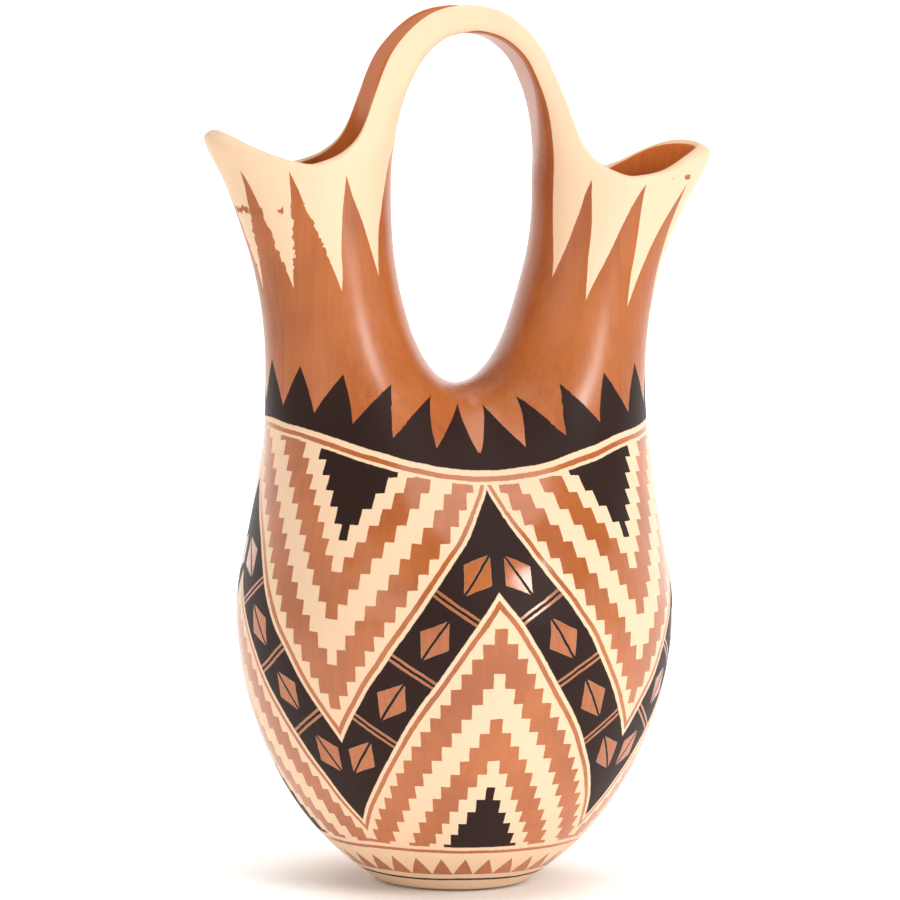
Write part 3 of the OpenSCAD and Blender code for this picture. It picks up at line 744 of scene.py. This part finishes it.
    # colour: fine polishing streaks, uneven slip, grain, and painted light that lifts the inside of the mouths towards
    # the rim
    streak = g.noise(g.vec(x, y, z0*0.07), 0.55, 2.0, 0.55)
    fine = g.noise(g.vec(x, y, z0*0.05), 1.9, 1.0, 0.5)
    cloud = g.noise(mm, 0.030, 2.0, 0.5)
    grain = g.noise(mm, 2.2, 2.0, 0.6)
    deep = inside*g.step(z0, 256.0, 228.0)*g.over(tq, -0.2, 0.2).max(g.step(z0, 262.0, 250.0))
    tone = (streak - 0.5)*0.34 + (fine - 0.5)*0.2 + (cloud - 0.5)*0.3 + (grain - 0.5)*0.1
    rust_col = g.mix(g.step(cloud*0.75 + streak*0.25, 0.30, 0.70), RUST, RUST_HI)
    neck = g.step(z0, 152.0, 182.0)*(1.0 - inside)
    # inside the mouths the rust is painted lighter towards the rim: painted light reaching into the mouth; further down
    # the inside turns towards the bare clay colour
    rust_col = g.shade(rust_col, 1.0 - 0.09*neck + tone*(0.38 - inside*0.22) + inside*0.4*g.step(z0, 232.0, 248.0))
    rust_col = g.mix(deep*0.75, rust_col, g.shade(BARE, 1.0 + (cloud - 0.5)*0.5 + (grain - 0.5)*0.2))
    cream_col = g.shade(CREAM, 1.0 + (cloud - 0.5)*0.07 + (streak - 0.5)*0.06 + (grain - 0.5)*0.05)
    black_col = g.shade(BLACK, 1.0 + (cloud - 0.5)*0.5 + (grain - 0.5)*0.6)
    thin = g.over(tq, 2.0, 1.5)*g.step(sheet, 0.0, 0.28)*(1.0 - inside)*g.step(streak, 0.4, 0.7)*0.22
    cream_col = g.mix(thin, cream_col, RUST)
    col = g.mix(rust, cream_col, rust_col)
    col = g.mix(black, col, black_col)
    foot_face = g.over(-mer, 1.0, 2.0)
    col = g.mix(foot_face*(1.0 - inside), col, g.shade(BARE, 1.0 + (cloud - 0.5)*0.4 + (grain - 0.5)*0.5))
    g.put(g.bsdf.inputs["Base Color"], col)

    # gloss: polished rust, satin cream, matt black and inside
    shiny = rust*(1.0 - black)
    rough = 0.43 - shiny*(0.25 - 0.12*neck) + black*0.08 + inside*0.40 + chip*0.3 + foot_face*0.3 + (grain - 0.5)*0.10 + (cloud - 0.5)*0.10 + (streak - 0.5)*0.08
    g.put(g.bsdf.inputs["Roughness"], rough.max(0.16).min(0.85))
    g.bsdf.inputs["IOR"].default_value = 1.5
    g.put(g.bsdf.inputs["Specular IOR Level"], 0.28 + shiny*(0.44 - 0.24*neck) - black*0.12 - inside*0.66)
    relief = cloud*0.6 + streak*0.05 + fine*0.012 + grain*0.012 - chip*0.25
    g.put(g.bsdf.inputs["Normal"], g.bump(relief, 0.0009, 0.5))
    return g.mat


def joint_clay():
    g = Graph("joint_clay")
    tc = g.node("ShaderNodeTexCoord").outputs["Object"]
    n = g.noise(tc, 700.0, 4.0, 0.7)
    m = g.noise(tc, 90.0, 2.0, 0.5)
    g.put(g.bsdf.inputs["Base Color"], g.shade(BARE, 0.7 + n*0.4 + m*0.2))
    g.put(g.bsdf.inputs["Roughness"], 0.7 + n*0.2)
    g.put(g.bsdf.inputs["Normal"], g.bump(n, 0.0006, 0.6))
    return g.mat


SKIN, JOINT = painted_clay(), joint_clay()

# ------------------------------------------------------------------ one closed mesh for each clay piece
joint_edges = {}
for e in JOINTS:
    for a, b, fi in e:
        joint_edges.setdefault(OWN[fi], []).append((a, b))
pieces = {}
for k, node in enumerate(NODES):
    quads = QUADS[OWNER == k]
    faces = [list(map(int, q)) for q in quads]
    skin_n = len(faces)
    for a, b in joint_edges.get(k, ()):
        out, inn = chain(a, b), chain(a + NOUT, b + NOUT)
        faces += [[out[i + 1], out[i], inn[i], inn[i + 1]] for i in range(4)]
    directed = {(f[i], f[(i + 1) % len(f)]) for f in faces for i in range(len(f))}
    for a in DIPS:
        path = chain(a, LOOPS[(a, 0)]) + chain(LOOPS[(a, 0)], LOOPS[(a, 1)])[1:] + chain(LOOPS[(a, 1)], a + NOUT)[1:]
        if (path[0], path[1]) in directed:
            faces.append(path[::-1])
        elif (path[1], path[0]) in directed:
            faces.append(path)
    used = np.unique(np.concatenate([np.array(f) for f in faces]))
    index = np.full(NV, -1, int)
    index[used] = np.arange(len(used))
    me = bpy.data.meshes.new(node + "_clay")
    me.from_pydata([tuple(map(float, CO[i])) for i in used], [], [[int(index[i]) for i in f] for f in faces])
    me.materials.append(SKIN)
    me.materials.append(JOINT)
    mi = np.zeros(len(faces), np.int32)
    mi[skin_n:] = 1
    me.polygons.foreach_set("material_index", mi)
    me.polygons.foreach_set("use_smooth", np.ones(len(faces), bool))
    me.update()
    for name, val in ATT.items():
        me.attributes.new(name, "FLOAT", "POINT").data.foreach_set("value", val[used])
    # the skin keeps the normals of the whole vase, so the joints between coils stay smoothed over
    normals = []
    for i, f in enumerate(faces):
        if i < skin_n:
            normals += [tuple(map(float, NRM[j])) for j in f]
        else:
            normals += [tuple(me.polygons[i].normal)]*len(f)
    me.normals_split_custom_set(normals)
    ob = bpy.data.objects.new(node + "_clay", me)
    scene.collection.objects.link(ob)
    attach(ob, "root")
    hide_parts(node)
    pieces[node] = ob
bpy.data.objects.remove(cage_ob)
bpy.data.meshes.remove(cage_me)

# ------------------------------------------------------------------ floor, light, camera
g = Graph("pale_floor_with_painted_glow")
tc = g.node("ShaderNodeTexCoord").outputs["Object"]
n = g.noise(tc, 14.0, 3.0, 0.5)
g.put(g.bsdf.inputs["Base Color"], g.shade((0.93, 0.925, 0.915, 1.0), 0.99 + n*0.02))
g.bsdf.inputs["Roughness"].default_value = 0.75
g.bsdf.inputs["Specular IOR Level"].default_value = 0.2
# the floor and the cove round it glow though they are no lamp: painted light
g.bsdf.inputs["Emission Color"].default_value = (1.0, 0.985, 0.97, 1.0)
far = g.node("ShaderNodeVectorMath")
far.operation = "LENGTH"
g.put(far.inputs[0], tc)
far = Num(g, far.outputs["Value"])
deep = g.node("ShaderNodeSeparateXYZ")
g.put(deep.inputs[0], tc)
deep = Num(g, deep.outputs[1]) + Num(g, deep.outputs[0])*0.35
# painted contact shadow: the glow is held low under the base; it is dimmed a little between 0.35 and 0.8 m out as
# painted shade, and raised on the cove behind
glow = 0.02 + 0.37*g.step(far, 0.03, 0.08) - 0.11*g.step(far, 0.35, 0.8) + 0.52*g.step(far, 1.2, 2.4)*g.step(deep, 0.6, 2.4)
g.put(g.bsdf.inputs["Emission Strength"], glow)
prof = [(r, 0.0) for r in (0.05, 0.1, 0.2, 0.4, 0.8, 1.6, 2.6)]
prof += [(2.6 + 0.9*math.sin(t), 0.9 - 0.9*math.cos(t)) for t in np.linspace(0, math.pi/2, 13)[1:]] + [(3.5, 1.6)]
RING = 96
vs = [(r*math.cos(2*math.pi*i/RING), r*math.sin(2*math.pi*i/RING), z) for r, z in prof for i in range(RING)]
fs = [tuple(range(RING))]
for j in range(len(prof) - 1):
    for i in range(RING):
        k = (i + 1) % RING
        fs.append((j*RING + i, (j + 1)*RING + i, (j + 1)*RING + k, j*RING + k))
fm = bpy.data.meshes.new("floor")
fm.from_pydata(vs, [], fs)
fm.polygons.foreach_set("use_smooth", np.ones(len(fs), bool))
fm.materials.append(g.mat)
floor = bpy.data.objects.new("floor", fm)
scene.collection.objects.link(floor)

world = bpy.data.worlds.new("studio")
scene.world = world
world.use_nodes = True
bg = world.node_tree.nodes["Background"]
bg.inputs[0].default_value = (1.0, 0.985, 0.96, 1.0)
bg.inputs[1].default_value = 0.275


def softbox(name, at, aim, size, watts, tint=(1, 1, 1)):
    lamp = bpy.data.lights.new(name, "AREA")
    lamp.shape = "RECTANGLE"
    lamp.size, lamp.size_y = size
    lamp.energy = watts
    lamp.color = tint
    o = bpy.data.objects.new(name, lamp)
    o.location = at
    o.rotation_euler = (Vector(aim) - Vector(at)).to_track_quat("-Z", "Y").to_euler()
    scene.collection.objects.link(o)


softbox("key", (0.8, -1.32, 0.95), (0, 0, 0.16), (0.34, 0.95), 16.2)
softbox("fill", (-1.2, -1.1, 0.75), (0, 0, 0.16), (0.9, 0.9), 2.2, (1.0, 0.96, 0.91))
softbox("top", (0.1, -0.1, 1.7), (0, 0, 0), (1.4, 1.4), 11.6)
softbox("back", (0.0, 1.0, 1.6), (0, 2.1, 0.7), (3.0, 0.8), 24.0)

AZ, EL, D, ROLL, MM_PX = math.radians(-12.0), math.radians(5.05), 1.70, math.radians(0.7), 0.3480e-3
cam = bpy.data.objects.new("camera", bpy.data.cameras.new("camera"))
scene.collection.objects.link(cam)
scene.camera = cam
back = Vector((math.sin(AZ)*math.cos(EL), -math.cos(AZ)*math.cos(EL), math.sin(EL)))
turn = (-back).to_track_quat("-Z", "Y") @ Quaternion((0, 0, 1), ROLL)
right, up_ = turn @ Vector((1, 0, 0)), turn @ Vector((0, 1, 0))
cam.location = Vector((0, 0, 0.1525)) + back*D - right*6.5*MM_PX - up_*4.8*MM_PX
cam.rotation_mode = "QUATERNION"
cam.rotation_quaternion = turn
cam.data.sensor_width = 36.0
cam.data.lens = 36.0*D/(900*MM_PX)
cam.data.clip_end = 100.0

scene.view_settings.view_transform = "Standard"
scene.view_settings.look = "None"
scene.view_settings.exposure = 0.0
